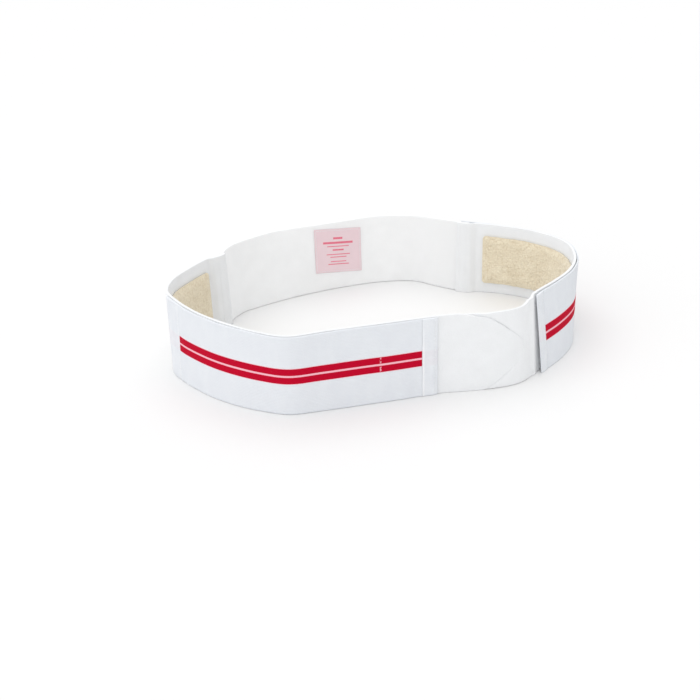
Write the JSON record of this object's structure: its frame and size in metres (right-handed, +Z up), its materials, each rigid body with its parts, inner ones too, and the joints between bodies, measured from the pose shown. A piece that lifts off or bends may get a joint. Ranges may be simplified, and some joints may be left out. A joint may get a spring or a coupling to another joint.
{
  "type": "pelvic support belt",
  "caption": "Wide elastic hip belt fastened into a standing loop, with a clipped hook closure, outer elastic straps, inner pads and a sewn label.",
  "frame": {"origin": "middle of the space that the belt takes on the ground, at its lower edge", "axes": "+Z up along the belt's height, +Y towards the back panel, +X to the viewer's right when looking at the closure"},
  "size_m": [0.3876, 0.299, 0.075],
  "materials": {
    "belt_cloth": "matt white brushed cloth",
    "elastic": "matt white ribbed elastic with a red double stripe",
    "hem_tape": "smooth white stitched tape",
    "pad_terry": "matt cream looped terry",
    "label_satin": "soft pale pink satin",
    "hook_tape": "matt white hook tape"
  },
  "bodies": {
    "root": {"back_panel": "belt_cloth", "left_wing": "belt_cloth", "right_wing": "belt_cloth", "closure_hook": "hook_tape", "label": "label_satin", "left_pad": "pad_terry", "right_pad": "pad_terry", "left_strap": "elastic", "left_strap_side_hem": "hem_tape", "left_strap_front_hem": "hem_tape", "right_strap": "elastic", "right_strap_front_hem": "hem_tape", "right_strap_rear_hem": "hem_tape"}
  },
  "joints": []
}
